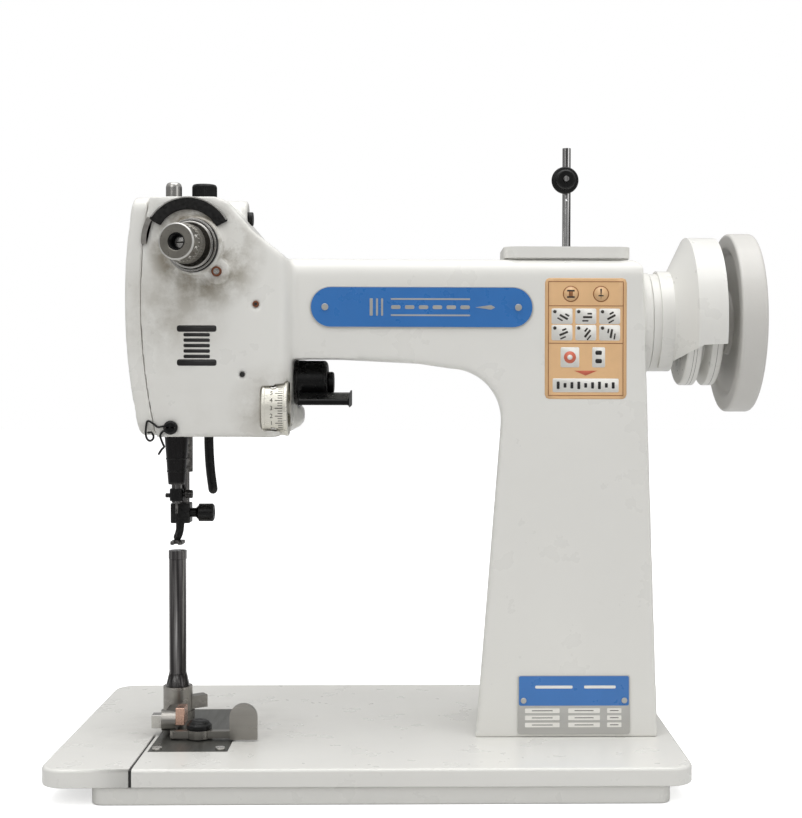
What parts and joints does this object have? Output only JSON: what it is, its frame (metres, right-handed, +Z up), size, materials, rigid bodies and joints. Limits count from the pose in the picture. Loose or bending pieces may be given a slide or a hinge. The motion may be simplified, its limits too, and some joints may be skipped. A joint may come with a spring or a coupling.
{
  "type": "leather sewing machine",
  "caption": "Small post-bed sewing machine for leather: cast arm on a flat bed, slim post under the needle, belt-driven handwheel at the right.",
  "frame": {"origin": "centre of the bounding box at the surface that the machine stands on", "axes": "+X along the arm towards the handwheel, +Y to the back, +Z up"},
  "size_m": [0.48, 0.25, 0.438],
  "materials": {
    "white_paint": "satin enamel with fine orange peel",
    "bright_steel": "machined and polished",
    "dark_steel": "dark oiled steel",
    "black_oxide": "black oxide, slightly glossy",
    "bronze": "sintered bronze",
    "copper": "copper plated",
    "blue_plate": "printed aluminium sheet",
    "dial_metal": "satin, knurled rim",
    "belt_rubber": "moulded",
    "black_plastic": "moulded"
  },
  "bodies": {
    "frame": {"bed_plate": "white_paint", "bed_skirt": "white_paint", "bottom_cover": "bright_steel", "access_plate": "dark_steel", "arm_casting": "white_paint", "face_plate": "white_paint", "cover_screws": "bright_steel", "column_top_cover": "white_paint", "column_rear_cover": "white_paint", "badge_plate": "blue_plate", "name_plate": "blue_plate", "plate_rivets": "bright_steel", "bearing_housing": "white_paint", "shaft_bushings": "bronze", "belt_guard": "white_paint", "thread_rod": "bright_steel", "tension_stud": "black_oxide", "tension_discs": "bright_steel", "tension_bracket": "black_oxide", "boss_plug": "black_plastic", "wire_guide": "black_oxide", "needle_bar_sleeve": "black_oxide", "bar_bushings": "black_oxide", "needle_bar_cap": "bright_steel", "pressure_plate": "bright_steel", "presser_spring": "bright_steel", "timing_belt": "belt_rubber", "lower_bearings": "bronze", "post_base": "bright_steel", "post_tube": "bright_steel", "throat_cap": "bright_steel", "clamp_bolt": "bright_steel", "guide_block": "copper"},
    "main_shaft_body": {"main_shaft": "bright_steel", "upper_sprocket": "bright_steel", "crank_disc": "bright_steel", "drive_pulley": "white_paint", "handwheel": "white_paint"},
    "lower_shaft_body": {"lower_shaft": "bright_steel", "lower_sprocket": "bright_steel", "lower_gear": "bright_steel"},
    "looper_body": {"looper_shaft": "bright_steel", "looper": "bright_steel"},
    "needle_bar_body": {"needle_bar": "bright_steel", "needle_clamp": "black_oxide", "needle": "bright_steel"},
    "link_body": {"needle_link": "bright_steel"},
    "presser_body": {"presser_bar": "bright_steel", "lift_bracket": "bright_steel", "presser_foot": "black_oxide", "foot_screw": "black_oxide"},
    "hand_lifter_body": {"hand_lifter": "black_oxide"},
    "tension_dial_body": {"tension_dial": "dial_metal"},
    "pressure_regulator_body": {"pressure_regulator": "black_plastic"},
    "stitch_dial_body": {"stitch_dial": "dial_metal"},
    "reverse_lever_body": {"reverse_lever": "black_oxide"},
    "feed_dog_body": {"feed_dog": "dark_steel"},
    "swing_lever_body": {"swing_lever": "bright_steel", "swing_knob": "black_plastic"},
    "rod_disc_body": {"rod_disc": "black_plastic"}
  },
  "joints": [
    {"name": "main_shaft_spin", "type": "hinge", "parent": "frame", "child": "main_shaft_body", "pos_m": [0.2, 0, 0.313], "axis": [1, 0, 0], "continuous": true},
    {"name": "lower_shaft_spin", "type": "hinge", "parent": "frame", "child": "lower_shaft_body", "pos_m": [0, 0.0036, 0.012], "axis": [1, 0, 0], "continuous": true},
    {"name": "looper_spin", "type": "hinge", "parent": "frame", "child": "looper_body", "pos_m": [-0.172, 0.0036, 0.08], "axis": [0, 0, 1], "continuous": true},
    {"name": "needle_bar_slide", "type": "slide", "parent": "frame", "child": "needle_bar_body", "axis": [0, 0, 1], "range_m": [-0.022, 0]},
    {"name": "link_swing", "type": "hinge", "parent": "needle_bar_body", "child": "link_body", "pos_m": [-0.16, 0, 0.281], "axis": [1, 0, 0], "range_deg": [-10, 10]},
    {"name": "presser_bar_lift", "type": "slide", "parent": "frame", "child": "presser_body", "axis": [0, 0, 1], "range_m": [0, 0.006], "stiffness_N_per_m": 20, "springref_m": 0.06, "deforming": ["presser_spring"]},
    {"name": "hand_lifter_turn", "type": "hinge", "parent": "frame", "child": "hand_lifter_body", "pos_m": [-0.157, 0.05, 0.262], "axis": [0, -1, 0], "range_deg": [0, 75]},
    {"name": "tension_dial_turn", "type": "hinge", "parent": "frame", "child": "tension_dial_body", "pos_m": [-0.15456, -0.06956, 0.3625], "axis": [-0.2079, -0.9781, 0], "range_deg": [-720, 720]},
    {"name": "pressure_regulator_turn", "type": "hinge", "parent": "frame", "child": "pressure_regulator_body", "pos_m": [-0.154, 0.016, 0.39], "axis": [0, 0, 1], "range_deg": [-720, 720]},
    {"name": "stitch_dial_turn", "type": "hinge", "parent": "frame", "child": "stitch_dial_body", "pos_m": [-0.0968, -0.036, 0.252], "axis": [1, 0, 0], "range_deg": [-40, 40]},
    {"name": "reverse_lever_press", "type": "hinge", "parent": "frame", "child": "reverse_lever_body", "pos_m": [-0.075, -0.012, 0.2695], "axis": [1, 0, 0], "range_deg": [0, 18], "stiffness_Nm_per_rad": 0.8, "springref_deg": -5.73},
    {"name": "feed_dog_slide", "type": "slide", "parent": "frame", "child": "feed_dog_body", "axis": [0, 1, 0], "range_m": [-0.0012, 0.0012]},
    {"name": "swing_lever_turn", "type": "hinge", "parent": "frame", "child": "swing_lever_body", "pos_m": [-0.149, -0.046, 0.03], "axis": [0, 0, 1], "range_deg": [-8, 8]},
    {"name": "rod_disc_turn", "type": "hinge", "parent": "frame", "child": "rod_disc_body", "pos_m": [0.1064, -0.008, 0.4145], "axis": [0, -1, 0], "continuous": true}
  ],
  "couplings": [
    {"joint": "lower_shaft_spin", "follows": "main_shaft_spin", "ratio": 1},
    {"joint": "looper_spin", "follows": "main_shaft_spin", "ratio": -1},
    {"joint": "presser_bar_lift", "follows": "hand_lifter_turn", "m_per_rad": 0.0045791}
  ]
}
